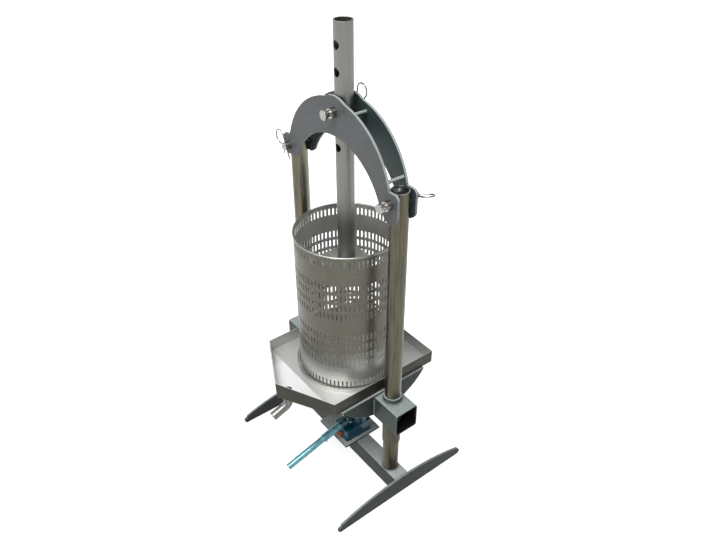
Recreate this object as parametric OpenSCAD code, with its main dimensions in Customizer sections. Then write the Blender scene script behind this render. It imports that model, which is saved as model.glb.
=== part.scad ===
// Floor-standing hydraulic fruit press: a bottle jack lifts a sliding
// carriage (crossbeam, tray, perforated basket) against a fixed press plate.
// Millimetres. +Z up, Z = 0 on the floor. X runs along the base beam, the
// pump handle and the juice spout point to -Y.

/* [Frame] */
// Centre distance of the two posts
post_gap = 540; // [500:5:600]
// Outside diameter of posts and press column
tube_d = 60.3; // [48.3:0.1:76.1]
// Wall of the posts
post_wall = 3; // [2:0.5:5]
// Height of the open post tops above the floor
post_top = 1307; // [1200:1:1400]
// Length of the base beam
beam_l = 682; // [640:2:720]
// Width of the base beam
beam_w = 68; // [50:1:90]
// Height of the base beam
beam_h = 80; // [60:1:100]
// Thickness of each foot plate
foot_t = 8; // [6:1:12]
// Length of each foot plate
foot_l = 626; // [500:2:700]

/* [Yoke and column] */
// Height of the two post pins
side_pin_z = 1270; // [1200:1:1300]
// Height of the column pin
mid_pin_z = 1472; // [1440:1:1500]
// Thickness of each yoke plate
yoke_t = 8; // [6:1:12]
// Half of the gap between the yoke plates
yoke_in = 31.5; // [31:0.5:36]
// Pin diameter
pin_d = 28; // [20:1:32]
// Top of the press column
column_top = 1740; // [1650:5:1800]
// Side of the square press plate
plate_side = 150; // [120:5:200]
// Top face of the press plate
plate_top = 925; // [800:5:950]

/* [Carriage] */
// Side of the square crossbeam tube
cross_s = 100; // [80:5:120]
// Underside of the crossbeam
cross_z = 348; // [300:1:380]
// Length of the crossbeam
cross_l = 700; // [660:2:740]
// Outside diameter of the guide tubes
guide_d = 68; // [66:1:80]
// Half width of the tray
tray_hw = 218; // [200:1:230]
// Rim height of the tray
tray_rim = 512; // [490:1:530]
// Floor underside of the tray
tray_z = 458; // [450:1:470]

/* [Basket] */
// Outside radius of the basket shell
basket_r = 183; // [150:1:190]
// Sheet thickness
sheet = 2; // [1:0.5:3]
// Top edge of the basket
basket_top = 1042; // [900:1:1100]
// Slots in each row
slots = 75; // [40:1:90]
// Slot width
slot_w = 6.5; // [4:0.5:9]
// Slot length
slot_l = 28; // [20:1:34]

/* [Jack] */
// Distance of the jack's axis from the middle, towards the near post
jack_x = 40; // [30:1:50]
// Distance of the jack's axis from the beam's middle plane
jack_y = 14; // [12:1:20]
// Outside radius of the oil reservoir
res_r = 40; // [36:1:42]

/* [Hidden] */
$fn = 96;
e = 0.05;
px = post_gap / 2;
tr = tube_d / 2;
pr = pin_d / 2;
bore_r = pr + 0.05;
wire = 2.5;
y_out = yoke_in + yoke_t;
cross_top = cross_z + cross_s;
plate_z = beam_h + 8;
base_top = plate_z + 58;
saddle_top = cross_z - 0.4;
lift_bed = tray_z + sheet;
crease = -215;
spout_y = -281;
pump_y = -56;
ful_y = -36;
ful_z = 168.8;
tilt = 15;
link_z = ful_z - 20 * tan(tilt);
pump_z = plate_z + 34;
pump_top = base_top + 3;
valve_z = plate_z + 22;
row_z = [1013, 917, 877.5, 838, 798.5, 702, 662.5, 623, 583.5, 490];

// ---------- helpers ----------
module tube(r, ri, z0, z1) {
  translate([0, 0, z0]) difference() {
    cylinder(r = r, h = z1 - z0);
    translate([0, 0, -1]) cylinder(r = ri, h = z1 - z0 + 2);
  }
}
module ycyl(r, y0, y1) {
  translate([0, y0, 0]) rotate([-90, 0, 0]) cylinder(r = r, h = y1 - y0);
}
module rrect(w, d, r) {
  union() {
    square([w - 2 * r, d], center = true);
    square([w, d - 2 * r], center = true);
    for (sx = [-1, 1], sy = [-1, 1]) translate([sx * (w / 2 - r), sy * (d / 2 - r)]) circle(r = r);
  }
}

// ---------- frame ----------
module base_beam() color("dimgray")
  rotate([90, 0, 90]) translate([0, 0, -beam_l / 2]) linear_extrude(beam_l) difference() {
    translate([0, beam_h / 2]) rrect(beam_w, beam_h, 6);
    translate([0, beam_h / 2]) rrect(beam_w - 8, beam_h - 8, 2);
  }

module foot_profile() {
  // top is one long arc, ends are rounded
  intersection() {
    translate([0, 84 - 957]) circle(r = 957);
    union() {
      translate([-(foot_l / 2 - 14), 0]) square([foot_l - 28, 100]);
      for (s = [-1, 1]) translate([s * (foot_l / 2 - 14), 14]) circle(r = 14);
      translate([-(foot_l / 2 - 14), 14]) square([foot_l - 28, 60]);
    }
  }
}
module foot(x0) translate([x0, 0, 0]) rotate([90, 0, 90]) linear_extrude(foot_t) foot_profile();
module foot_left() color("dimgray") foot(-beam_l / 2 - foot_t);
module foot_right() color("dimgray") foot(beam_l / 2);

module jack_plate() color("gray")
  translate([5, 0, beam_h]) linear_extrude(8) rrect(181, 176, 2);

module post(x) translate([x, 0, 0]) difference() {
  tube(tr, tr - post_wall, beam_h, post_top);
  translate([0, 0, side_pin_z]) ycyl(bore_r, -50, 50);
}
module post_left() color("lightgray") post(-px);
module post_right() color("lightgray") post(px);

module yoke_profile() difference() {
  union() {
    // outer arc, cut off above the ears
    intersection() {
      translate([0, 1242]) circle(r = 272);
      translate([-262, 1250]) square([524, 300]);
    }
    // bump round the column pin
    intersection() {
      translate([0, 1427]) circle(r = 96);
      translate([-72, 1440]) square([144, 100]);
    }
    // left ear, short
    translate([-303, 1258]) square([78, 32]);
    translate([-281, 1290]) circle(r = 22);
    translate([-281, 1280]) square([40, 32]);
    translate([-282, 1258]) circle(r = 21);
    translate([-246, 1258]) circle(r = 21);
    translate([-282, 1237]) square([36, 30]);
    // right ear, long
    translate([236, 1238]) square([70, 56]);
    translate([290, 1294]) circle(r = 16);
    translate([240, 1270]) square([50, 40]);
    translate([271, 1238]) circle(r = 35);
  }
  difference() {
    translate([0, 1153]) circle(r = 241);
    translate([-400, 1100]) square([180 - 5, 300]);
    translate([400 - 164, 1100]) square([180, 300]);
  }
}
module yoke_plate(y0) difference() {
  translate([0, y0 + yoke_t, 0]) rotate([90, 0, 0]) linear_extrude(yoke_t) yoke_profile();
  for (p = [[-px, side_pin_z], [px, side_pin_z], [0, mid_pin_z]])
    translate([p[0], 0, p[1]]) ycyl(bore_r, y0 - 1, y0 + yoke_t + 1);
}
module yoke_front() color("gray") yoke_plate(-y_out);
module yoke_back() color("gray") yoke_plate(yoke_in);
module yoke_spacers() color("gray")
  for (s = [-1, 1], p = [[66, 1478], [246, 1331]])
    translate([s * p[0], 0, p[1]]) ycyl(6, -yoke_in, yoke_in);

module press_column() color("silver") difference() {
  tube(tr, tr - 4, plate_top, column_top);
  for (z = [mid_pin_z - 120, mid_pin_z, mid_pin_z + 120, mid_pin_z + 200]) translate([0, 0, z]) ycyl(bore_r, -50, 50);
}
module press_plate() color("silver")
  translate([0, 0, plate_top - 12]) linear_extrude(12) rrect(plate_side, plate_side, 6);

// ---------- pins and spring clips ----------
// pin along Y, turned head at -Y, tail with a cross hole (angle a) at +Y
module pin(a, hy) difference() {
  union() {
    ycyl(16, -58, -y_out - 0.4);
    ycyl(pr, -y_out - 0.4, hy + 9);
    ycyl(10, -74, -58);
    ycyl(16, -82, -74);
    translate([0, hy + 9, 0]) rotate([-90, 0, 0]) cylinder(r1 = pr, r2 = pr - 2, h = 2);
  }
  translate([0, hy, 0]) rotate([0, 90 - a, 0]) cylinder(r = wire + 0.3, h = 60, center = true);
}
// spring clip: straight leg along X through the pin, loop and outer leg at +Y
module clip2(lx, lr) {
  q = [6, pr + wire + 1];
  b = 31;
  r1 = 6;
  d = norm([lx, lr] - q);
  al = atan2(lr - q[1], lx - q[0]) + asin(lr / d);
  tp = q + sqrt(d * d - lr * lr) * [cos(al), sin(al)];
  th = atan2(tp[1] - lr, tp[0] - lx);
  t1 = r1 * tan(al / 2);
  t2 = r1 * tan(b / 2);
  c2 = [-14 + t2, q[1] + r1];
  p2 = c2 - r1 * [sin(b), cos(b)];
  union() {
    leg([-46, 0], [lx, 0]);
    bend([lx, lr], lr, -90, th + 90);
    leg(tp, q + t1 * [cos(al), sin(al)]);
    bend([q[0] - t1, q[1] + r1], r1, -90, al);
    leg([q[0] - t1, q[1]], [c2[0], q[1]]);
    bend(c2, r1, -90 - b, b);
    leg(p2, p2 + 9 * [-cos(b), sin(b)]);
  }
}
// straight wire from a to b
module leg(a, b) translate([a[0], a[1], 0]) rotate([0, 0, atan2(b[1] - a[1], b[0] - a[0])]) rotate([0, 90, 0]) cylinder(r = wire, h = norm(b - a));
// bent wire round c from angle a0 over da, its ends half a millimetre inside the legs
module bend(c, r, a0, da) {
  k = 28.6 / r;
  translate([c[0], c[1], 0]) rotate([0, 0, a0 - k]) rotate_extrude(angle = da + 2 * k) translate([r, 0]) circle(r = wire - 0.05);
}
// puts the clip's X at angle a in the XZ plane, turned by t about its own leg
module clip(a, t, lx, lr) rotate([0, -a, 0]) rotate([90 + t, 0, 0]) clip2(lx, lr);

module pin_center() color("gainsboro") translate([0, 0, mid_pin_z]) pin(48, 57);
module pin_right() color("gainsboro") translate([px, 0, side_pin_z]) pin(16, 57);
module pin_left() color("gainsboro") translate([-px, 0, side_pin_z]) rotate([0, 0, 180]) pin(68, 53);
module clip_center() color("gainsboro") translate([0, 57, mid_pin_z]) clip(48, 0, 47, 23);
module clip_right() color("gainsboro") translate([px, 57, side_pin_z]) clip(16, -97, 38, 21);
module clip_left() color("gainsboro") translate([-px, -53, side_pin_z]) clip(112, 0, 35, 24);

// ---------- carriage ----------
module crossbeam() color("gray") difference() {
  translate([-cross_l / 2, 0, 0]) rotate([90, 0, 90]) linear_extrude(cross_l) difference() {
    translate([0, cross_z + cross_s / 2]) rrect(cross_s, cross_s, 9);
    translate([0, cross_z + cross_s / 2]) rrect(cross_s - 10, cross_s - 10, 4);
  }
  for (s = [-1, 1]) translate([s * px, 0, cross_z - 5]) cylinder(r = guide_d / 2 + e, h = cross_s + 10);
}
module guide_tubes() color("gray")
  for (s = [-1, 1]) translate([s * px, 0, 0]) tube(guide_d / 2, tr + 0.1, 235, 472);

module gusset(x0) translate([x0, 0, 0]) rotate([90, 0, 90]) linear_extrude(10) difference() {
  intersection() {
    translate([0, 590]) circle(r = 236);
    translate([-196, 340]) square([392, tray_z - 1 - 340]);
  }
  translate([-cross_s / 2 - e, 300]) square([cross_s + 2 * e, cross_top + e - 300]);
}
module gusset_left() color("gray") gusset(-226);
module gusset_right() color("gray") gusset(216);

// tray: house-shaped pan, front walls lean in, front floor falls to the spout
module pan_solid(o, z0) difference() {
  translate([0, 0, 400]) linear_extrude(tray_rim - 400 + (o > 0 ? 5 : 0)) polygon([
    [-tray_hw + o, 241 - o], [tray_hw - o, 241 - o], [tray_hw - o, -222 + o * 0.6],
    [0, -329 + o * 1.11], [-tray_hw + o, -222 + o * 0.6]]);
  // flat floor behind the crease
  translate([-300, crease, 390]) cube([600, 600, z0 - 390]);
  // falling floor in front of the crease
  translate([0, crease, z0]) rotate([7, 0, 0]) translate([-300, -200, -90]) cube([600, 200 + e, 90]);
  // leaning front walls
  for (s = [-1, 1]) translate([0, -329 + o * 1.11, tray_rim]) rotate([0, 0, s * 26.14])
    rotate([-22, 0, 0]) translate([-350, -120, -160]) cube([700, 120, 200]);
}
module tray() color("lightgray") difference() {
  pan_solid(0, tray_z);
  pan_solid(sheet, tray_z + sheet);
  translate([0, spout_y, 400]) cylinder(r = 17 + e, h = 80);
}
module spout_elbow() color("lightgray") difference() {
  union() {
    translate([0, spout_y, 0]) tube(17, 15, 403, 458);
    translate([0, spout_y - 30, 403]) rotate([-90, 0, 90]) rotate_extrude(angle = 71) translate([30, 0]) difference() {
      circle(r = 17);
      circle(r = 15);
    }
  }
  // top end follows the falling floor
  translate([0, crease, tray_z + sheet]) rotate([7, 0, 0]) translate([-100, -200, 0]) cube([200, 200, 60]);
}
module spout_pipe() color("lightgray")
  translate([0, spout_y - 30, 403]) rotate([-71, 0, 0]) translate([0, 30, 0]) tube(17, 15, -55, 0);
module basket_ring() color("lightgray") tube(197, 187, lift_bed, lift_bed + 14);

// ---------- basket ----------
module slot_band() linear_extrude(slot_l) difference() {
  circle(r = basket_r);
  circle(r = basket_r - sheet);
  for (i = [0 : slots - 1]) rotate([0, 0, i * 360 / slots]) translate([basket_r - 6, -slot_w / 2]) square([12, slot_w]);
}
module basket_shell() color("lightgray") union() {
  b0 = lift_bed + 0.4;
  lows = [b0, for (i = [9 : -1 : 0]) row_z[i] + slot_l / 2];
  highs = [for (i = [9 : -1 : 0]) row_z[i] - slot_l / 2, basket_top];
  for (i = [0 : 10]) tube(basket_r, basket_r - sheet, lows[i], highs[i]);
  for (z = row_z) translate([0, 0, z - slot_l / 2]) slot_band();
}
module basket_rim() color("lightgray") difference() {
  translate([0, 0, basket_top]) rotate_extrude() translate([basket_r - 1, 0]) circle(r = 4);
  translate([0, 0, basket_top - 10]) difference() {
    cylinder(r = basket_r, h = 10);
    translate([0, 0, -1]) cylinder(r = basket_r - sheet, h = 12);
  }
}

// ---------- bottle jack ----------
module jack_base() color("navy") difference() {
  union() {
    translate([jack_x, -7.5, plate_z]) linear_extrude(base_top - plate_z) rrect(80, 125, 8);
    translate([jack_x, jack_y, base_top]) cylinder(r = res_r + 2, h = 5);
  }
  // seats of the cylinders
  translate([jack_x, jack_y, plate_z + 18]) cylinder(r = 21 + e, h = 60);
  translate([jack_x, jack_y, base_top]) cylinder(r = res_r + e, h = 20);
  translate([jack_x, pump_y, pump_z]) cylinder(r = 10 + e, h = 40);
  // release valve bore
  translate([jack_x, 0, valve_z]) ycyl(5.3, -80, -33);
  // oil ways
  translate([jack_x, 0, plate_z + 9]) ycyl(2, -60, 10);
  translate([jack_x, jack_y, plate_z + 7]) cylinder(r = 2, h = 20);
  translate([jack_x, pump_y, plate_z + 7]) cylinder(r = 2, h = 30);
}
module jack_reservoir() color("navy") translate([jack_x, jack_y, 0]) tube(res_r, res_r - 2.5, base_top, 272);
module jack_cylinder() color("silver") translate([jack_x, jack_y, 0]) tube(21, 17, plate_z + 18, 276);
module jack_top_nut() color("navy") translate([jack_x, jack_y, 0]) difference() {
  union() {
    translate([0, 0, 272]) cylinder(r = res_r, h = 10);
    translate([0, 0, 282]) cylinder(r = 27, h = 12, $fn = 6);
    translate([0, 0, 266]) cylinder(r = res_r - 2.5 - e, h = 6);
  }
  translate([0, 0, 260]) cylinder(r = 21 + e, h = 16);
  translate([0, 0, 260]) cylinder(r = 13.05, h = 60);
}
module jack_ram() color("silver") translate([jack_x, jack_y, 0]) difference() {
  union() {
    translate([0, 0, plate_z + 34]) cylinder(r = 13, h = 178);
    translate([0, 0, plate_z + 24]) cylinder(r = 16.95, h = 10);
    translate([0, 0, plate_z + 19]) cylinder(r = 8, h = 5);
  }
  translate([0, 0, 180]) cylinder(r = 9.05, h = 130);
}
module ram_seal() color("black") translate([jack_x, jack_y, 0]) tube(16.95, 8 + e, plate_z + 19, plate_z + 24);
module jack_saddle() color("silver") translate([jack_x, jack_y, 0]) difference() {
  union() {
    translate([0, 0, 200]) cylinder(r = 9, h = 134);
    translate([0, 0, 334]) cylinder(r1 = 12, r2 = 18, h = 6);
    translate([0, 0, 340]) cylinder(r = 18, h = saddle_top - 340);
  }
  for (a = [0, 60, 120]) rotate([0, 0, a]) translate([-20, -1.5, saddle_top - 2]) cube([40, 3, 3]);
}
module pump_cylinder() color("navy") translate([jack_x, pump_y, 0]) tube(10, 6.05, pump_z, pump_top);
module pump_plunger() color("silver") translate([jack_x, pump_y, 0]) difference() {
  union() {
    translate([0, 0, pump_z + 8]) cylinder(r = 6, h = pump_top + 2 - pump_z - 8);
    translate([0, 0, pump_z + 4]) cylinder(r = 3, h = 5);
    intersection() {
      translate([0, 0, pump_top + 1]) cylinder(r = 6, h = link_z + 7 - pump_top - 1);
      translate([-4.5, -10, pump_top + 1]) cube([9, 20, 30]);
    }
  }
  translate([-20, 0, link_z]) rotate([0, 90, 0]) cylinder(r = 3 + e, h = 40);
}
module plunger_seal() color("black") translate([jack_x, pump_y, 0]) tube(6, 3 + e, pump_z + 4, pump_z + 8);
module plunger_pin() color("silver") translate([jack_x - 14.2, pump_y, link_z]) rotate([0, 90, 0]) cylinder(r = 3, h = 28.4);

module fulcrum_links() color("navy") for (s = [-1, 1])
  translate([jack_x + s * 17.5 - 2, 0, 0]) difference() {
    rotate([90, 0, 90]) linear_extrude(4) union() {
      translate([ful_y - 6, base_top]) square([12, ful_z - base_top]);
      translate([ful_y, ful_z]) circle(r = 8);
    }
    translate([-1, ful_y, ful_z]) rotate([0, 90, 0]) cylinder(r = 4 + e, h = 6);
  }
module fulcrum_pin() color("silver") translate([jack_x - 22, ful_y, ful_z]) rotate([0, 90, 0]) union() {
  cylinder(r = 4, h = 44);
  translate([0, 0, -4]) cylinder(r = 6.5, h = 4);
  translate([0, 0, 44]) cylinder(r = 6.5, h = 3);
}
// lever frame: origin in the fulcrum, local -Y along the handle
module lever() translate([jack_x, ful_y, ful_z]) rotate([tilt, 0, 0]) children();
module lever_socket() color("teal") lever() difference() {
  union() {
    for (s = [-1, 1]) translate([s * 11.5 - 2.5, 0, 0]) rotate([90, 0, 90]) linear_extrude(5) union() {
      circle(r = 10);
      translate([-42, -10]) square([42, 20]);
    }
    ycyl(15.5, -128, -40);
    translate([-14, -46, -10]) cube([28, 8, 20]);
  }
  ycyl(13.4, -130, -47);
  // fulcrum hole
  translate([-20, 0, 0]) rotate([0, 90, 0]) cylinder(r = 4.05, h = 40);
  // slot of the plunger pin
  translate([-20, 0, 0]) rotate([90, 0, 90]) linear_extrude(40) union() {
    translate([-24, -3.9]) square([5, 7.8]);
    translate([-24, 0]) circle(r = 3.9);
    translate([-19, 0]) circle(r = 3.9);
  }
  // bore of the clamp screw
  translate([0, -120, -20]) cylinder(r = 3 + e, h = 8);
}
module socket_screw() color("dimgray") lever() union() {
  translate([0, -120, -22]) cylinder(r = 3, h = 8.6);
  translate([0, -120, -26]) cylinder(r = 5, h = 4, $fn = 6);
}
module pump_handle() color("teal") lever() difference() {
  ycyl(13, -304, -49);
  ycyl(11, -305, -48);
}
module release_valve() color("orange") translate([jack_x, 0, valve_z]) union() {
  ycyl(5, -71, -40);
  translate([0, -40, 0]) rotate([-90, 0, 0]) cylinder(r1 = 5, r2 = 2, h = 4);
  ycyl(9, -82, -71);
  ycyl(3, -86, -82);
  translate([-12, -90, -3]) cube([24, 5, 6]);
}

base_beam();
foot_left();
foot_right();
jack_plate();
post_left();
post_right();
yoke_front();
yoke_back();
yoke_spacers();
press_column();
press_plate();
pin_center();
pin_left();
pin_right();
clip_center();
clip_left();
clip_right();
crossbeam();
guide_tubes();
gusset_left();
gusset_right();
tray();
spout_elbow();
spout_pipe();
basket_ring();
basket_shell();
basket_rim();
jack_base();
jack_reservoir();
jack_cylinder();
jack_top_nut();
jack_ram();
ram_seal();
jack_saddle();
pump_cylinder();
pump_plunger();
plunger_seal();
plunger_pin();
fulcrum_links();
fulcrum_pin();
lever_socket();
socket_screw();
pump_handle();
release_valve();
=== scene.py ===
import bpy, bmesh, math, random
from mathutils import Vector, Matrix, noise


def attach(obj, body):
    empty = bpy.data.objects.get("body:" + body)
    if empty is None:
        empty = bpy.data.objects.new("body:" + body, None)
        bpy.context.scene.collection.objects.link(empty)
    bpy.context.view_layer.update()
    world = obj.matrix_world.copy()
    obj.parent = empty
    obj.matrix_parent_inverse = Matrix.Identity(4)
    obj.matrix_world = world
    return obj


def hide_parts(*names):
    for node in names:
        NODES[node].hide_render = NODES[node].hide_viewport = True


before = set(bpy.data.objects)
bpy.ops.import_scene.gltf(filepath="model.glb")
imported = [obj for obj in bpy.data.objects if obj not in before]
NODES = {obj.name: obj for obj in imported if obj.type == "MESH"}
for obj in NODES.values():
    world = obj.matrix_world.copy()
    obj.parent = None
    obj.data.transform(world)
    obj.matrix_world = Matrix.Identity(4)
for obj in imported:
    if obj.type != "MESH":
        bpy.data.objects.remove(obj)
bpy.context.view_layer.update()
scene = bpy.context.scene
scene.view_settings.view_transform = "Standard"
rng = random.Random(7)

# ------------------------------------------------------------------ camera
AZ, EL, ROLL = 0.9130589, 0.6064962, -0.0030420
TARGET, DIST = Vector((-0.17278, 0.18400, 0.70000)), 2.71690
F = Vector((-math.sin(AZ) * math.cos(EL), math.cos(AZ) * math.cos(EL), -math.sin(EL)))
R0 = Vector((math.cos(AZ), math.sin(AZ), 0.0))
U0 = R0.cross(F)
R = R0 * math.cos(ROLL) + U0 * math.sin(ROLL)
U = -R0 * math.sin(ROLL) + U0 * math.cos(ROLL)
cam_data = bpy.data.cameras.new("camera")
cam = bpy.data.objects.new("camera", cam_data)
scene.collection.objects.link(cam)
cam.matrix_world = Matrix.Translation(TARGET - F * DIST) @ Matrix((
    (R.x, U.x, -F.x), (R.y, U.y, -F.y), (R.z, U.z, -F.z))).to_4x4()
cam_data.sensor_fit = "HORIZONTAL"
cam_data.sensor_width = 36.0
cam_data.lens = 676.717 * 36.0 / 716.0
cam_data.clip_start, cam_data.clip_end = 0.05, 60.0
scene.camera = cam


# ------------------------------------------------------------------ material helpers
class Nodes:
    def __init__(self, name):
        self.m = bpy.data.materials.new(name)
        self.m.use_nodes = True
        self.t = self.m.node_tree
        self.b = next(n for n in self.t.nodes if n.type == "BSDF_PRINCIPLED")

    def new(self, kind, **kw):
        n = self.t.nodes.new(kind)
        for k, v in kw.items():
            setattr(n, k, v)
        return n

    def link(self, a, b):
        self.t.links.new(a, b)

    def coords(self, scale=(1, 1, 1)):
        tc = self.new("ShaderNodeTexCoord")
        mp = self.new("ShaderNodeMapping")
        mp.inputs["Scale"].default_value = scale
        self.link(tc.outputs["Object"], mp.inputs["Vector"])
        return mp.outputs["Vector"]

    def noise(self, vec, scale, detail=4.0, rough=0.55, dist=0.0):
        n = self.new("ShaderNodeTexNoise")
        n.inputs["Scale"].default_value = scale
        n.inputs["Detail"].default_value = detail
        n.inputs["Roughness"].default_value = rough
        n.inputs["Distortion"].default_value = dist
        self.link(vec, n.inputs["Vector"])
        return n.outputs["Fac"]

    def ramp(self, fac, stops):
        r = self.new("ShaderNodeValToRGB")
        e = r.color_ramp.elements
        while len(e) < len(stops):
            e.new(0.5)
        for el, (p, c) in zip(e, stops):
            el.position = p
            el.color = (*c, 1.0) if len(c) == 3 else c
        self.link(fac, r.inputs["Fac"])
        return r.outputs["Color"]

    def mix(self, fac, a, b, blend="MIX"):
        x = self.new("ShaderNodeMix", data_type="RGBA", blend_type=blend)
        for sock, v in ((x.inputs[0], fac), (x.inputs[6], a), (x.inputs[7], b)):
            if isinstance(v, bpy.types.NodeSocket):
                self.link(v, sock)
            elif isinstance(v, tuple):
                sock.default_value = (*v, 1.0)
            else:
                sock.default_value = v
        return x.outputs[2]

    def range(self, v, a, b, c, d, smooth=False):
        x = self.new("ShaderNodeMapRange")
        if smooth:
            x.interpolation_type = "SMOOTHSTEP"
        for i, k in enumerate((a, b, c, d)):
            x.inputs[i + 1].default_value = k
        self.link(v, x.inputs[0])
        return x.outputs[0]

    def bump(self, height, strength, distance, normal=None):
        x = self.new("ShaderNodeBump")
        x.inputs["Strength"].default_value = strength
        x.inputs["Distance"].default_value = distance
        self.link(height, x.inputs["Height"])
        if normal is not None:
            self.link(normal, x.inputs["Normal"])
        return x.outputs["Normal"]

    def bevel(self, radius):
        x = self.new("ShaderNodeBevel", samples=4)
        x.inputs["Radius"].default_value = radius
        return x.outputs["Normal"]

    def edge(self, bevel_normal, lo=0.02, hi=0.25):
        g = self.new("ShaderNodeNewGeometry")
        d = self.new("ShaderNodeVectorMath", operation="DOT_PRODUCT")
        self.link(bevel_normal, d.inputs[0])
        self.link(g.outputs["Normal"], d.inputs[1])
        s = self.new("ShaderNodeMath", operation="SUBTRACT")
        s.inputs[0].default_value = 1.0
        self.link(d.outputs["Value"], s.inputs[1])
        return self.range(s.outputs[0], lo, hi, 0.0, 1.0, True)

    def times(self, a, b):
        x = self.new("ShaderNodeMath", operation="MULTIPLY")
        for s, v in zip(x.inputs, (a, b)):
            if isinstance(v, bpy.types.NodeSocket):
                self.link(v, s)
            else:
                s.default_value = v
        return x.outputs[0]


def paint(name, lo, hi, edge, rough=0.42, peel=260.0, peel_s=0.12, edge_r=0.0016, coat=0.0, wear_and_highlight=0.8, metal=0.0, dirt=(0.75, 0.75, 0.72), spec=0.5, dust_and_top_light=None, rim=None, back=None, speckle=0.0):
    """dust_and_top_light lightens faces that look up, with dust and painted top light; rim is painted light on a
    plate's cut edges that look up, back is painted shade on the -Y-facing front face of its +Y half; edges get worn
    paint and painted highlight
    """
    n = Nodes(name)
    v = n.coords()
    big = n.noise(v, 5.0, 3.0)
    mid = n.noise(v, 38.0, 6.0, 0.6)
    fine = n.noise(v, peel, 2.0, 0.5)
    col = n.ramp(mid, [(0.32, lo), (0.68, hi)])
    col = n.mix(n.range(big, 0.35, 0.7, 0.0, 0.55), col, n.mix(1.0, col, dirt, "MULTIPLY"))
    speck = n.noise(v, 210.0, 3.0, 0.75)
    if dust_and_top_light or rim or back:
        geo = n.new("ShaderNodeNewGeometry")
        face = n.new("ShaderNodeSeparateXYZ")
        n.link(geo.outputs["Normal"], face.inputs[0])
    # painted top light, with some dust: faces that look up are mixed toward a lighter tone
    if dust_and_top_light:
        col = n.mix(n.times(n.range(face.outputs[2], 0.55, 0.9, 0.0, 1.0), n.range(big, 0.3, 0.7, 0.75, 1.0)), col, dust_and_top_light)
    if speckle:
        col = n.mix(speckle, col, n.mix(1.0, col, n.ramp(speck, [(0.36, (0.55, 0.55, 0.55)), (0.66, (1.55, 1.55, 1.55))]), "MULTIPLY"))
    # painted shade: the face looking -Y on the +Y half, the back plate's inner face, takes the darker back tone
    if back:
        tc = n.new("ShaderNodeTexCoord")
        at = n.new("ShaderNodeSeparateXYZ")
        n.link(tc.outputs["Object"], at.inputs[0])
        col = n.mix(n.times(n.range(at.outputs[1], 0.0, 0.01, 0.0, 1.0), n.range(face.outputs[1], -0.6, -0.4, 1.0, 0.0)), col, back)
    # painted light: faces that look sideways and up, a plate's cut edges, take the lighter rim tone
    if rim:
        side = n.new("ShaderNodeMath", operation="ABSOLUTE")
        n.link(face.outputs[1], side.inputs[0])
        up = n.range(face.outputs[2], -0.25, 0.35, 0.0, 1.0)
        col = n.mix(n.times(n.range(side.outputs[0], 0.5, 0.7, 1.0, 0.0), up), col, rim)
    bev = n.bevel(edge_r)
    e = n.edge(bev)
    # edges: chipped, worn paint and painted highlight, mixed toward the lighter edge tone
    chips = n.range(n.noise(v, 90.0, 5.0, 0.7), 0.40, 0.62, 0.25, 1.0)
    col = n.mix(n.times(n.times(e, chips), wear_and_highlight), col, edge)
    n.link(col, n.b.inputs["Base Color"])
    n.link(n.range(mid, 0.3, 0.7, rough - 0.06, rough + 0.08), n.b.inputs["Roughness"])
    n.link(n.bump(fine, peel_s, 0.0008, bev), n.b.inputs["Normal"])
    n.b.inputs["Metallic"].default_value = metal
    n.b.inputs["Specular IOR Level"].default_value = spec
    n.b.inputs["Coat Weight"].default_value = coat
    n.b.inputs["Coat Roughness"].default_value = 0.12
    return n.m


def steel(name, lo, hi, rough=0.34, axis="z", streak=420.0, bump=0.08, stain=None, edge=None, metal=1.0, aniso=0.3, blotch=6.0, edge_r=0.0009):
    """drawn or brushed steel; axis is the direction of the brushing, 'round' runs round the Z axis"""
    n = Nodes(name)
    if axis == "round":
        tc = n.new("ShaderNodeTexCoord")
        sep = n.new("ShaderNodeSeparateXYZ")
        n.link(tc.outputs["Object"], sep.inputs[0])
        at = n.new("ShaderNodeMath", operation="ARCTAN2")
        n.link(sep.outputs[1], at.inputs[0])
        n.link(sep.outputs[0], at.inputs[1])
        cmb = n.new("ShaderNodeCombineXYZ")
        n.link(n.times(at.outputs[0], 0.012), cmb.inputs[0])
        n.link(sep.outputs[2], cmb.inputs[2])
        v = cmb.outputs[0]
    else:
        k = {"x": (0.02, 1, 1), "y": (1, 0.02, 1), "z": (1, 1, 0.02)}[axis]
        v = n.coords(k)
    st = n.noise(v, streak, 3.0, 0.6)
    big = n.noise(n.coords((1, 1, 0.12) if axis == "z" else (1, 1, 1)), blotch, 4.0, 0.6, 0.4)
    col = n.ramp(st, [(0.3, lo), (0.7, hi)])
    if stain:
        col = n.mix(n.range(big, 0.42, 0.66, 0.0, 0.85), col, stain)
    bev = n.bevel(edge_r)
    # painted highlight, with some wear: edges are mixed toward a lighter tone
    if edge:
        col = n.mix(n.times(n.edge(bev), 0.8), col, edge)
    n.link(col, n.b.inputs["Base Color"])
    n.link(n.range(n.noise(v, streak * 0.6, 2.0), 0.3, 0.7, rough - 0.05, rough + 0.09), n.b.inputs["Roughness"])
    n.link(n.bump(st, bump, 0.0004, bev), n.b.inputs["Normal"])
    n.b.inputs["Metallic"].default_value = metal
    n.b.inputs["Anisotropic"].default_value = aniso
    return n.m


def give(mat, *names):
    for x in names:
        o = NODES[x] if isinstance(x, str) else x
        o.data.materials.clear()
        o.data.materials.append(mat)


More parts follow.
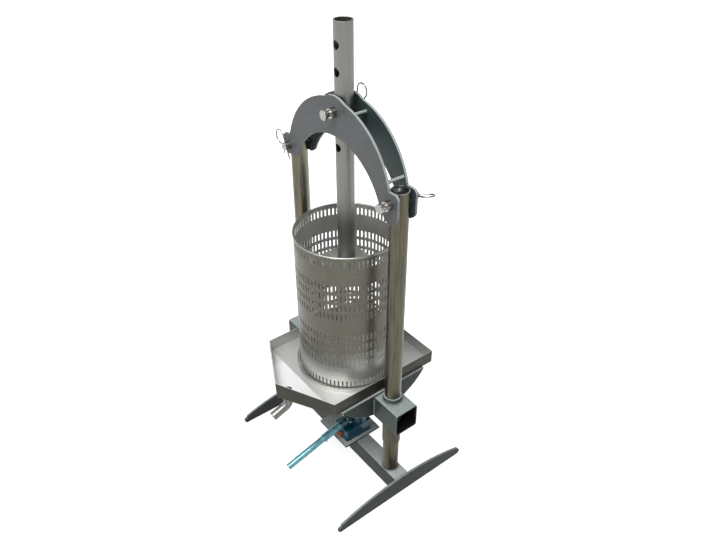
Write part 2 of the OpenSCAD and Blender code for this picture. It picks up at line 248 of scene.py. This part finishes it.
# ------------------------------------------------------------------ materials
def inside_dark(mat, build, dark=(0.012, 0.012, 0.012), rough=0.8):
    """recolours a material where build(nodes, x, y, z sockets) gives a 0..1 mask: painted shade inside the crossbeam
    tube, the guide tubes' unpainted lower part, and lighter tones on the posts' inside and top end
    """
    t = mat.node_tree
    n = Nodes.__new__(Nodes)
    n.m, n.t = mat, t
    n.b = next(k for k in t.nodes if k.type == "BSDF_PRINCIPLED")
    tc = n.new("ShaderNodeTexCoord")
    sep = n.new("ShaderNodeSeparateXYZ")
    n.link(tc.outputs["Object"], sep.inputs[0])
    mask = build(n, *sep.outputs)
    sock = n.b.inputs["Base Color"].links[0].from_socket
    n.link(n.mix(mask, sock, dark), n.b.inputs["Base Color"])
    return mat


def calc(n, op, a, b=0.0):
    x = n.new("ShaderNodeMath", operation=op)
    for s, v in zip(x.inputs, (a, b)):
        if isinstance(v, bpy.types.NodeSocket):
            n.link(v, s)
        else:
            s.default_value = v
    return x.outputs[0]


grey = dict(rough=0.42, dirt=(0.62, 0.62, 0.6), spec=0.22, dust_and_top_light=(0.150, 0.172, 0.164), peel_s=0.22, edge_r=0.0034, wear_and_highlight=1.0, speckle=0.75)
frame_mat = paint("frame_hammer_grey", (0.014, 0.019, 0.018), (0.025, 0.031, 0.029), (0.34, 0.39, 0.37), **{**grey, "spec": 0.12, "dust_and_top_light": (0.190, 0.210, 0.203)})
jack_plate_mat = paint("jack_plate_hammer_grey", (0.018, 0.024, 0.022), (0.032, 0.040, 0.037), (0.22, 0.26, 0.25), **{**grey, "spec": 0.10, "dust_and_top_light": (0.250, 0.272, 0.262)})
# painted shade: the feet are a darker copy of the frame's hammer grey
foot_shaded_mat = paint("foot_shaded_hammer_grey", (0.010, 0.013, 0.012), (0.019, 0.024, 0.022), (0.30, 0.34, 0.33), **{**grey, "dust_and_top_light": (0.120, 0.135, 0.130), "spec": 0.12})
cross_mat = paint("crossbeam_hammer_grey", (0.014, 0.022, 0.019), (0.025, 0.036, 0.032), (0.36, 0.41, 0.39), **{**grey, "spec": 0.16, "dust_and_top_light": (0.175, 0.200, 0.190)})
guide_mat = paint("guide_tube_grey", (0.026, 0.034, 0.031), (0.044, 0.054, 0.050), (0.40, 0.44, 0.42), **{**grey, "spec": 0.16, "dust_and_top_light": (0.240, 0.260, 0.252)})
inside_dark(guide_mat, lambda n, x, y, z: n.range(z, 0.3470, 0.3478, 1.0, 0.0), (0.046, 0.041, 0.026))
# painted shade: the inside of the crossbeam tube is made near black
inside_dark(cross_mat, lambda n, x, y, z: n.times(
    n.range(calc(n, "ABSOLUTE", y), 0.0456, 0.0462, 1.0, 0.0),
    n.range(calc(n, "ABSOLUTE", calc(n, "SUBTRACT", z, 0.398)), 0.0456, 0.0462, 1.0, 0.0)), (0.004, 0.004, 0.004))
# rim paints light on the yoke plates' cut edges; back paints shade on the back plate's inner face
yoke_mat = paint("yoke_satin_grey", (0.036, 0.039, 0.041), (0.050, 0.054, 0.056), (0.40, 0.44, 0.43), rough=0.46, peel=420.0, peel_s=0.08, wear_and_highlight=0.95, dirt=(0.75, 0.75, 0.75), edge_r=0.0026, speckle=0.35,
                 spec=0.32, rim=(0.200, 0.226, 0.220), back=(0.022, 0.034, 0.034))
post_mat = steel("post_drawn_steel", (0.056, 0.053, 0.036), (0.128, 0.121, 0.088), rough=0.32, axis="z", stain=(0.055, 0.046, 0.026), edge=(0.6, 0.6, 0.56), blotch=9.0)
inside_dark(post_mat, lambda n, x, y, z: n.range(
    calc(n, "POWER", calc(n, "ADD", calc(n, "POWER", calc(n, "SUBTRACT", calc(n, "ABSOLUTE", x), 0.270), 2.0), calc(n, "POWER", y, 2.0)), 0.5),
    0.0272, 0.0280, 1.0, 0.0), (0.24, 0.26, 0.25))
inside_dark(post_mat, lambda n, x, y, z: n.range(z, 1.3062, 1.3068, 0.0, 1.0), (0.55, 0.57, 0.55))
# painted light: the left post is a lighter copy of the post steel, standing in for the light that falls on it
post_left_lit_mat = steel("post_left_lit_drawn_steel", (0.125, 0.119, 0.086), (0.270, 0.260, 0.200), rough=0.32, axis="z", stain=(0.055, 0.046, 0.026), edge=(0.6, 0.6, 0.56), blotch=9.0)
inside_dark(post_left_lit_mat, lambda n, x, y, z: n.range(
    calc(n, "POWER", calc(n, "ADD", calc(n, "POWER", calc(n, "SUBTRACT", calc(n, "ABSOLUTE", x), 0.270), 2.0), calc(n, "POWER", y, 2.0)), 0.5),
    0.0272, 0.0280, 1.0, 0.0), (0.24, 0.26, 0.25))
inside_dark(post_left_lit_mat, lambda n, x, y, z: n.range(z, 1.3062, 1.3068, 0.0, 1.0), (0.55, 0.57, 0.55))
column_mat = steel("column_satin_steel", (0.166, 0.170, 0.153), (0.206, 0.210, 0.190), rough=0.42, axis="z", edge=(0.6, 0.62, 0.6))
plate_mat = steel("plate_ground_steel", (0.34, 0.355, 0.34), (0.46, 0.475, 0.46), rough=0.40, axis="x", edge=(0.8, 0.8, 0.8))
pin_mat = steel("pin_zinc", (0.24, 0.235, 0.215), (0.42, 0.415, 0.39), rough=0.24, axis="y", streak=300.0, bump=0.04, edge=(0.9, 0.9, 0.9))
clip_mat = steel("clip_spring_wire", (0.16, 0.17, 0.17), (0.30, 0.31, 0.31), rough=0.25, axis="y", streak=500.0, bump=0.03)


def tray_steel(name):
    n = Nodes(name)
    tc = n.new("ShaderNodeTexCoord")
    sep = n.new("ShaderNodeSeparateXYZ")
    n.link(tc.outputs["Object"], sep.inputs[0])
    flat = n.new("ShaderNodeCombineXYZ")
    n.link(sep.outputs[0], flat.inputs[0])
    n.link(sep.outputs[1], flat.inputs[1])
    nrm = n.new("ShaderNodeVectorMath", operation="NORMALIZE")
    n.link(flat.outputs[0], nrm.inputs[0])
    geo = n.new("ShaderNodeNewGeometry")
    dot = n.new("ShaderNodeVectorMath", operation="DOT_PRODUCT")
    n.link(nrm.outputs["Vector"], dot.inputs[0])
    n.link(geo.outputs["Normal"], dot.inputs[1])
    up = n.new("ShaderNodeSeparateXYZ")
    n.link(geo.outputs["Normal"], up.inputs[0])
    # painted shade: faces that look outward or down take the dark outer tone, the inside faces a pale one
    out = n.range(dot.outputs["Value"], 0.2, 0.45, 0.0, 1.0)
    under = n.range(up.outputs[2], -0.6, -0.3, 1.0, 0.0)
    mask = calc(n, "MAXIMUM", out, under)
    st = n.noise(n.coords((0.03, 1, 1)), 480.0, 3.0, 0.6)
    big = n.noise(n.coords(), 7.0, 4.0, 0.6, 0.5)
    inner = n.ramp(st, [(0.3, (0.56, 0.56, 0.54)), (0.7, (0.72, 0.72, 0.70))])
    inner = n.mix(n.range(big, 0.42, 0.66, 0.0, 0.35), inner, (0.42, 0.41, 0.38))
    # painted shade: walls, which look sideways, are mixed darker than the floor
    wall = n.range(up.outputs[2], 0.45, 0.7, 1.0, 0.0)
    # painted reflection: the sloped front of the floor is near white and the floor behind the crease a darker grey
    front = n.range(sep.outputs[1], -0.2165, -0.2135, 1.0, 0.0)
    inner = n.mix(n.times(calc(n, "SUBTRACT", 1.0, front), 0.62), inner, (0.44, 0.44, 0.43))
    reach = calc(n, "ADD", calc(n, "ABSOLUTE", sep.outputs[0]), calc(n, "MULTIPLY", calc(n, "ADD", sep.outputs[1], 0.215), 0.35))
    front = n.times(front, n.range(reach, 0.118, 0.152, 1.0, 0.25, True))
    inner = n.mix(n.times(front, 0.75), inner, (0.88, 0.89, 0.88))
    inner = n.mix(n.times(wall, 0.7), inner, (0.40, 0.402, 0.385))
    outer = n.ramp(st, [(0.3, (0.017, 0.0155, 0.010)), (0.7, (0.034, 0.031, 0.022))])
    outer = n.mix(n.range(big, 0.42, 0.66, 0.0, 0.6), outer, (0.042, 0.040, 0.030))
    bev = n.bevel(0.0011)
    col = n.mix(mask, inner, outer)
    # painted highlight, with some wear: edges are mixed toward a lighter tone
    col = n.mix(n.times(n.edge(bev), 0.85), col, (0.55, 0.56, 0.54))
    n.link(col, n.b.inputs["Base Color"])
    n.link(n.range(n.noise(n.coords((0.05, 1, 1)), 300.0, 2.0), 0.3, 0.7, 0.32, 0.46), n.b.inputs["Roughness"])
    n.link(n.bump(st, 0.06, 0.0004, bev), n.b.inputs["Normal"])
    n.b.inputs["Metallic"].default_value = 0.75
    n.b.inputs["Anisotropic"].default_value = 0.3
    return n.m


tray_mat = tray_steel("tray_satin_steel")
spout_mat = steel("spout_satin_steel", (0.110, 0.110, 0.103), (0.215, 0.215, 0.205), rough=0.38, axis="x", streak=260.0, edge=(0.6, 0.6, 0.58), edge_r=0.0015)
ring_mat = steel("seat_ring_steel", (0.34, 0.34, 0.32), (0.50, 0.50, 0.48), rough=0.36, axis="round", streak=400.0, edge=(0.7, 0.7, 0.68))
def basket_steel(name):
    n = Nodes(name)
    tc = n.new("ShaderNodeTexCoord")
    sep = n.new("ShaderNodeSeparateXYZ")
    n.link(tc.outputs["Object"], sep.inputs[0])
    flat = n.new("ShaderNodeCombineXYZ")
    n.link(sep.outputs[0], flat.inputs[0])
    n.link(sep.outputs[1], flat.inputs[1])
    nrm = n.new("ShaderNodeVectorMath", operation="NORMALIZE")
    n.link(flat.outputs[0], nrm.inputs[0])
    geo = n.new("ShaderNodeNewGeometry")
    dot = n.new("ShaderNodeVectorMath", operation="DOT_PRODUCT")
    n.link(nrm.outputs["Vector"], dot.inputs[0])
    n.link(geo.outputs["Normal"], dot.inputs[1])
    outer = n.range(dot.outputs["Value"], 0.3, 0.6, 0.0, 1.0)
    ang = calc(n, "ARCTAN2", sep.outputs[1], sep.outputs[0])
    v = n.new("ShaderNodeCombineXYZ")
    n.link(n.times(ang, 0.012), v.inputs[0])
    n.link(sep.outputs[2], v.inputs[2])
    st = n.noise(v.outputs[0], 600.0, 3.0, 0.6)
    big = n.noise(n.coords((1, 1, 0.35)), 9.0, 5.0, 0.6, 0.5)
    dark = n.ramp(st, [(0.3, (0.078, 0.074, 0.058)), (0.7, (0.126, 0.121, 0.100))])
    dark = n.mix(n.range(big, 0.42, 0.66, 0.0, 0.5), dark, (0.085, 0.080, 0.060))
    pale = n.ramp(st, [(0.3, (0.42, 0.42, 0.40)), (0.7, (0.58, 0.58, 0.56))])
    low = n.range(sep.outputs[2], 0.47, 0.66, 1.0, 0.0, True)
    outside = n.mix(n.times(low, 0.85), dark, pale)
    inside = n.ramp(st, [(0.3, (0.30, 0.295, 0.28)), (0.7, (0.44, 0.435, 0.415))])
    col = n.mix(outer, inside, outside)
    n.link(col, n.b.inputs["Base Color"])
    n.link(n.range(n.noise(v.outputs[0], 360.0, 2.0), 0.3, 0.7, 0.30, 0.44), n.b.inputs["Roughness"])
    n.link(n.bump(st, 0.07, 0.0004), n.b.inputs["Normal"])
    n.b.inputs["Metallic"].default_value = 0.85
    n.b.inputs["Anisotropic"].default_value = 0.3
    return n.m


basket_mat = basket_steel("basket_brushed_steel")
rim_mat = steel("basket_rim_steel", (0.20, 0.20, 0.185), (0.32, 0.32, 0.30), rough=0.28, axis="round", streak=400.0)
jack_mat = paint("jack_gloss_teal", (0.0006, 0.026, 0.046), (0.0018, 0.046, 0.076), (0.03, 0.22, 0.30), rough=0.24, peel=160.0, peel_s=0.18, coat=0.12, spec=0.28, wear_and_highlight=0.6)
lever_mat = paint("lever_teal", (0.085, 0.225, 0.275), (0.150, 0.330, 0.375), (0.50, 0.68, 0.72), rough=0.27, metal=0.6, peel=300.0, peel_s=0.05, coat=0.3, wear_and_highlight=0.6)
bright_mat = steel("jack_ground_steel", (0.30, 0.30, 0.29), (0.45, 0.45, 0.44), rough=0.22, axis="z", bump=0.03)
screw_mat = steel("screw_blackened", (0.04, 0.04, 0.04), (0.09, 0.09, 0.09), rough=0.45, axis="z", bump=0.03)
valve_mat = paint("valve_orange", (0.30, 0.06, 0.015), (0.42, 0.10, 0.025), (0.6, 0.25, 0.12), rough=0.4, peel=300.0, peel_s=0.08, wear_and_highlight=0.4)
rubber_mat = paint("seal_rubber", (0.010, 0.010, 0.010), (0.02, 0.02, 0.02), (0.04, 0.04, 0.04), rough=0.7, wear_and_highlight=0.2)
weld_mat = paint("weld_bead_grey", (0.070, 0.086, 0.080), (0.115, 0.135, 0.128), (0.36, 0.40, 0.38), spec=0.25, rough=0.45, peel=180.0, peel_s=0.3, edge_r=0.0006)
weld_steel = steel("weld_bead_steel", (0.20, 0.20, 0.18), (0.36, 0.36, 0.33), rough=0.36, axis="z", streak=300.0, bump=0.15)

give(frame_mat, "base_beam", "gusset_left", "gusset_right")
give(jack_plate_mat, "jack_plate")
give(guide_mat, "guide_tubes")
give(foot_shaded_mat, "foot_left", "foot_right")
give(cross_mat, "crossbeam")
give(yoke_mat, "yoke_front", "yoke_back", "yoke_spacers")
give(post_mat, "post_right")
give(post_left_lit_mat, "post_left")
give(column_mat, "press_column")
give(plate_mat, "press_plate")
give(pin_mat, "pin_center", "pin_left", "pin_right")
give(clip_mat, "clip_center", "clip_left", "clip_right")
give(tray_mat, "tray")
give(spout_mat, "spout_elbow", "spout_pipe")
give(ring_mat, "basket_ring")
give(basket_mat, "basket_shell")
give(rim_mat, "basket_rim")
give(jack_mat, "jack_base", "jack_reservoir", "jack_top_nut", "pump_cylinder", "fulcrum_links")
give(bright_mat, "jack_cylinder", "jack_ram", "jack_saddle", "pump_plunger", "plunger_pin", "fulcrum_pin")
give(screw_mat, "socket_screw")
give(rubber_mat, "ram_seal", "plunger_seal")
give(lever_mat, "lever_socket", "pump_handle")
give(valve_mat, "release_valve")


# ------------------------------------------------------------------ detail pieces
def add(name, bm, mat, body, smooth=True):
    me = bpy.data.meshes.new(name)
    bm.normal_update()
    bm.to_mesh(me)
    bm.free()
    if smooth:
        for p in me.polygons:
            p.use_smooth = True
    me.materials.append(mat)
    o = bpy.data.objects.new(name, me)
    scene.collection.objects.link(o)
    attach(o, body)
    return o


def bead(bm, pts, r, closed=False, squash=None, seed=0, ripple=0.0045):
    """a weld bead along pts (metres): a lumpy tube with scale-like ripples"""
    pts = [Vector(p) for p in pts]
    fine = []
    count = len(pts)
    for i in range(count if closed else count - 1):
        a, b = pts[i], pts[(i + 1) % count]
        k = max(1, int((b - a).length / 0.0016))
        fine += [a.lerp(b, j / k) for j in range(k)]
    if not closed:
        fine.append(pts[-1])
    rings, run = [], 0.0
    m = len(fine)
    for i, p in enumerate(fine):
        a = fine[i - 1] if (closed or i) else p
        b = fine[(i + 1) % m] if (closed or i < m - 1) else p
        t = (b - a).normalized()
        side = t.orthogonal().normalized() if abs(t.z) > 0.9 else t.cross(Vector((0, 0, 1))).normalized()
        up = side.cross(t).normalized()
        run += (p - fine[i - 1]).length if i else 0.0
        ph = (run / ripple) % 1.0
        rr = r * (0.90 + 0.16 * ph + 0.14 * noise.noise(p * 140.0 + Vector((seed, 0, 0))))
        if not closed and (i < 2 or i > m - 3):
            rr *= 0.55
        ring = []
        for j in range(8):
            q = 2 * math.pi * j / 8
            ring.append(bm.verts.new(p + side * (rr * math.cos(q)) + up * (rr * math.sin(q))))
        rings.append(ring)
    for i in range(m if closed else m - 1):
        ra, rb = rings[i], rings[(i + 1) % m]
        for j in range(8):
            bm.faces.new((ra[j], ra[(j + 1) % 8], rb[(j + 1) % 8], rb[j]))
    if not closed:
        bm.faces.new(rings[0][::-1])
        bm.faces.new(rings[-1])


def circle(cx, cy, cz, r, n=64, axis="z"):
    out = []
    for i in range(n):
        a = 2 * math.pi * i / n
        c, s = r * math.cos(a), r * math.sin(a)
        out.append((cx + c, cy + s, cz) if axis == "z" else (cx + c, cy, cz + s))
    return out


def mm(*p):
    return tuple(x / 1000.0 for x in p)


# welds of the frame
bm = bmesh.new()
for s in (-1, 1):
    bead(bm, circle(s * 0.270, 0, 0.0805, 0.0310), 0.0034, True, seed=s)
    for y in (-1, 1):
        bead(bm, [mm(s * 341, y * 34.2, 6), mm(s * 341, y * 34.2, 76)], 0.0030, seed=s + y)
    bead(bm, [mm(s * 341, -30, 80.2), mm(s * 341, 30, 80.2)], 0.0030, seed=s)
    bead(bm, [mm(s * 90.5, -31, 80.2), mm(s * 90.5, 31, 80.2)], 0.0026, seed=s + 5)
    bead(bm, [mm(-86, s * 34.4, 79.2), mm(-40, s * 34.4, 79.2)], 0.0026, seed=s + 9)
    bead(bm, [mm(40, s * 34.4, 79.2), mm(86, s * 34.4, 79.2)], 0.0026, seed=s + 11)
add("frame_welds", bm, weld_mat, "frame")

bm = bmesh.new()
for s in (-1, 1):
    for x, z in ((66, 1478), (246, 1331)):
        for y in (-1, 1):
            bead(bm, circle(s * x / 1000, y * 0.0312, z / 1000, 0.0064, 20, "y"), 0.0016, True, seed=x + s, ripple=0.003)
add("yoke_welds", bm, weld_mat, "frame")

bm = bmesh.new()
bead(bm, circle(0, 0, 0.9254, 0.0309), 0.0028, True, seed=3)
add("column_weld", bm, weld_steel, "frame")

# welds of the carriage
bm = bmesh.new()
for s in (-1, 1):
    bead(bm, circle(s * 0.270, 0, 0.4485, 0.0352), 0.0034, True, seed=s + 20)
    bead(bm, circle(s * 0.270, 0, 0.3475, 0.0352), 0.0032, True, seed=s + 22)
    for x in (215.6, 226.4):
        for y in (-1, 1):
            bead(bm, [mm(s * x, y * 50.6, 360), mm(s * x, y * 50.6, 440)], 0.0028, seed=x + y)
        bead(bm, [mm(s * x, -44, 448.3), mm(s * x, 44, 448.3)], 0.0028, seed=x)
add("carriage_welds", bm, weld_mat, "carriage")

bm = bmesh.new()
bead(bm, [(x, y, 0.4572 - (-y - 0.215) * 0.1228) for x, y, z in circle(0, -0.281, 0, 0.0176)], 0.0018, True, seed=31)
c71, s71 = math.cos(math.radians(71)), math.sin(math.radians(71))
ring = []
for i in range(40):
    a = 2 * math.pi * i / 40
    # ring round the elbow's end, square to the pipe
    q = Vector((0.0172 * math.cos(a), 0.0172 * math.sin(a) * c71, -0.0172 * math.sin(a) * s71))
    ring.append(Vector((0, -0.30123, 0.37463)) + q)
bead(bm, ring, 0.0013, True, seed=33, ripple=0.003)
add("spout_welds", bm, weld_steel, "carriage")

# ------------------------------------------------------------------ basket sheet with round-ended slots
def basket_sheet():
    r_out, r_in, z0, z1 = 0.183, 0.181, 0.4604, 1.042
    rows = sorted((1013, 917, 877.5, 838, 798.5, 702, 662.5, 623, 583.5, 490))
    n, w, hw, hc, hb = 75, math.pi / 75, 3.25 / 183, 10.75, 16.0
    bm = bmesh.new()
    seen = {}

    def v(a, z, side):
        key = (round(a * 1e5), round(z * 1e4), side)
        if key not in seen:
            r = r_out if side else r_in
            seen[key] = bm.verts.new((r * math.cos(a), r * math.sin(a), z / 1000.0))
        return seen[key]

    def quad(pts, side):
        f = [v(a, z, side) for a, z in pts]
        bm.faces.new(f if side else f[::-1])

    rect_top = [(1, hc), (1, 13.4), (1, hb), (0.5, hb), (0, hb), (-0.5, hb), (-1, hb), (-1, 13.4), (-1, hc)]
    slot_top = [(hw * math.cos(math.pi * k / 8), hc + 3.25 * math.sin(math.pi * k / 8)) for k in range(9)]
    rect = [(x * w, z) for x, z in rect_top] + [(-x * w, -z) for x, z in rect_top]
    slot = slot_top + [(-x, -z) for x, z in slot_top]
    cuts = [z0 * 1000] + [z for r in rows for z in (r - hb, r + hb)] + [z1 * 1000]
    full = 2 * math.pi

    def at(i, du):
        # columns shared by neighbouring cells keep one exact angle
        half = round(du / (w / 2))
        if abs(du - half * w / 2) < 1e-9:
            return ((4 * i + half) % (4 * n)) * (w / 2)
        return (i * 2 * w + du) % full

    for i in range(n):
        for side in (0, 1):
            for a, b in zip(cuts[0::2], cuts[1::2]):
                steps = max(1, int((b - a) / 20))
                for s in range(steps):
                    za, zb = a + (b - a) * s / steps, a + (b - a) * (s + 1) / steps
                    for k in (-2, -1, 0, 1):
                        quad([(at(i, k * w / 2), za), (at(i, (k + 1) * w / 2), za), (at(i, (k + 1) * w / 2), zb), (at(i, k * w / 2), zb)], side)
            for r in rows:
                for k in range(18):
                    m = (k + 1) % 18
                    quad([(at(i, slot[k][0]), r + slot[k][1]), (at(i, rect[k][0]), r + rect[k][1]),
                          (at(i, rect[m][0]), r + rect[m][1]), (at(i, slot[m][0]), r + slot[m][1])], side)
        for r in rows:
            for k in range(18):
                m = (k + 1) % 18
                a, b = (at(i, slot[k][0]), r + slot[k][1]), (at(i, slot[m][0]), r + slot[m][1])
                bm.faces.new([v(*a, 0), v(*a, 1), v(*b, 1), v(*b, 0)])
        for z, up in ((z0 * 1000, False), (z1 * 1000, True)):
            for k in (-2, -1, 0, 1):
                f = [v(at(i, k * w / 2), z, 0), v(at(i, k * w / 2), z, 1), v(at(i, (k + 1) * w / 2), z, 1), v(at(i, (k + 1) * w / 2), z, 0)]
                bm.faces.new(f if up else f[::-1])
    bmesh.ops.recalc_face_normals(bm, faces=bm.faces)
    for e in bm.edges:
        if len(e.link_faces) == 2 and e.link_faces[0].normal.angle(e.link_faces[1].normal, 0) > 0.6:
            e.smooth = False
    return bm


sheet = add("basket_sheet", basket_sheet(), basket_mat, "basket")
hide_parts("basket_shell")

# ------------------------------------------------------------------ floor, light
bpy.ops.mesh.primitive_plane_add(size=60, location=(0, 0, -0.0005))
floor = bpy.context.object
floor.name = "floor"
fm = Nodes("floor_pale")
fm.link(fm.ramp(fm.noise(fm.coords(), 0.7, 2.0), [(0.3, (0.80, 0.80, 0.80)), (0.7, (0.82, 0.82, 0.82))]), fm.b.inputs["Base Color"])
fm.b.inputs["Roughness"].default_value = 0.9
fm.b.inputs["Specular IOR Level"].default_value = 0.1
floor.data.materials.append(fm.m)

world = bpy.data.worlds.new("studio")
scene.world = world
world.use_nodes = True
wt = world.node_tree
wt.nodes.clear()
tc = wt.nodes.new("ShaderNodeTexCoord")
sep = wt.nodes.new("ShaderNodeSeparateXYZ")
rp = wt.nodes.new("ShaderNodeValToRGB")
bg = wt.nodes.new("ShaderNodeBackground")
out = wt.nodes.new("ShaderNodeOutputWorld")
wt.links.new(tc.outputs["Generated"], sep.inputs[0])
wt.links.new(sep.outputs[2], rp.inputs["Fac"])
wt.links.new(rp.outputs["Color"], bg.inputs["Color"])
wt.links.new(bg.outputs["Background"], out.inputs["Surface"])
els = rp.color_ramp.elements
els[0].position, els[0].color = 0.0, (1.02, 1.02, 1.02, 1)
els[1].position, els[1].color = 1.0, (0.75, 0.76, 0.78, 1)
for at, tone in ((0.30, 1.0), (0.47, 0.36), (0.60, 0.32)):
    x = els.new(at)
    x.color = (tone, tone, tone * 1.01, 1)
bg.inputs["Strength"].default_value = 1.0


def sun(name, toward, power, angle, on_floor):
    """a soft lamp for the floor alone or for everything but the floor"""
    d = bpy.data.lights.new(name, "SUN")
    d.energy = power
    d.angle = math.radians(angle)
    o = bpy.data.objects.new(name, d)
    scene.collection.objects.link(o)
    o.rotation_euler = (-Vector(toward)).to_track_quat("-Z", "Y").to_euler()
    group = bpy.data.collections.new(name + "_floor")
    group.objects.link(floor)
    group.collection_objects[0].light_linking.link_state = "INCLUDE" if on_floor else "EXCLUDE"
    o.light_linking.receiver_collection = group
    if on_floor:
        o.light_linking.blocker_collection = group
    return o


sun("floor_light", (0.0, 0.0, 1.0), 4.0, 60, True)
sun("key_light", (0.20, -0.42, 1.0), 5.0, 40, False)
sun("front_light", (-0.35, -0.90, 0.35), 0.75, 50, False)
